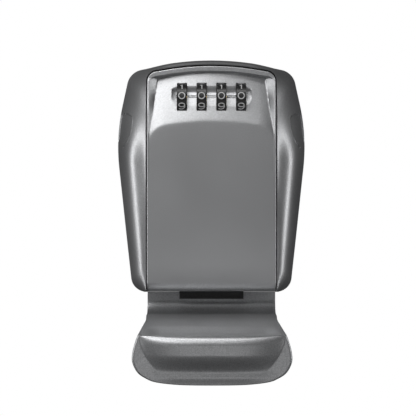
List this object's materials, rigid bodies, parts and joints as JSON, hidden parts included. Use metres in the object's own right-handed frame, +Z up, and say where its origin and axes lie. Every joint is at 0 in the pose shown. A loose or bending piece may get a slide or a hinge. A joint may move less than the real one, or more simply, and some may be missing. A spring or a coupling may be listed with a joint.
{
  "type": "key cabinet",
  "caption": "Wall-mounted combination key safe with a bottom-hinged door, turning code dials and a hinged weather cover swung open.",
  "frame": {"origin": "centre of the back face, on the wall plane, midway between the four wall screw holes", "axes": "+Z up, +Y into the wall, the front and the dials face -Y, +X to the viewer's right"},
  "size_m": [0.1058, 0.1585, 0.164],
  "materials": {
    "housing_paint": "metallic grey satin paint",
    "door_paint": "metallic grey satin paint",
    "cover_paint": "metallic grey satin paint, slightly grainy",
    "inner_plate": "dark grey satin",
    "steel": "zinc plated",
    "brass": "machined",
    "black_plastic": "fine matte",
    "dial_black": "semi-gloss",
    "digit_white": "white fill"
  },
  "bodies": {
    "housing": {"rear_housing": "housing_paint", "latch_keeper": "steel", "keeper_screws": "steel", "key_hook": "steel", "hinge_pin": "steel"},
    "door": {"door_shell": "door_paint", "door_back_plate": "inner_plate", "back_plate_screws": "steel", "lock_frame": "steel", "dial_axle": "steel", "detent_spring": "steel", "latch_springs": "steel", "reset_pivot": "steel"},
    "latch": {"latch_bar": "steel", "release_bar": "black_plastic", "release_screws": "steel"},
    "reset": {"reset_lever": "black_plastic"},
    "cover": {"weather_cover": "cover_paint", "cover_liner": "cover_paint"},
    "code_wheel_1": {"dial_1": "dial_black", "tumbler_1": "brass"},
    "code_wheel_2": {"dial_2": "dial_black", "tumbler_2": "brass"},
    "code_wheel_3": {"dial_3": "dial_black", "tumbler_3": "brass"},
    "code_wheel_4": {"dial_4": "dial_black", "tumbler_4": "brass"}
  },
  "joints": [
    {"name": "door_hinge", "type": "hinge", "parent": "housing", "child": "door", "pos_m": [0, -0.0358, -0.062], "axis": [1, 0, 0], "range_deg": [0, 90]},
    {"name": "cover_hinge", "type": "hinge", "parent": "housing", "child": "cover", "pos_m": [0, -0.0358, -0.062], "axis": [1, 0, 0], "range_deg": [-90, 0]},
    {"name": "latch_slide", "type": "slide", "parent": "door", "child": "latch", "axis": [0, 0, 1], "range_m": [0, 0.003]},
    {"name": "reset_turn", "type": "hinge", "parent": "door", "child": "reset", "pos_m": [0.022, -0.026, 0.008], "axis": [0, 1, 0], "range_deg": [0, 90]},
    {"name": "dial_1_turn", "type": "hinge", "parent": "door", "child": "code_wheel_1", "pos_m": [-0.0162, -0.0412, 0.0413], "axis": [1, 0, 0], "continuous": true},
    {"name": "dial_2_turn", "type": "hinge", "parent": "door", "child": "code_wheel_2", "pos_m": [-0.0054, -0.0412, 0.0413], "axis": [1, 0, 0], "continuous": true},
    {"name": "dial_3_turn", "type": "hinge", "parent": "door", "child": "code_wheel_3", "pos_m": [0.0054, -0.0412, 0.0413], "axis": [1, 0, 0], "continuous": true},
    {"name": "dial_4_turn", "type": "hinge", "parent": "door", "child": "code_wheel_4", "pos_m": [0.0162, -0.0412, 0.0413], "axis": [1, 0, 0], "continuous": true}
  ]
}
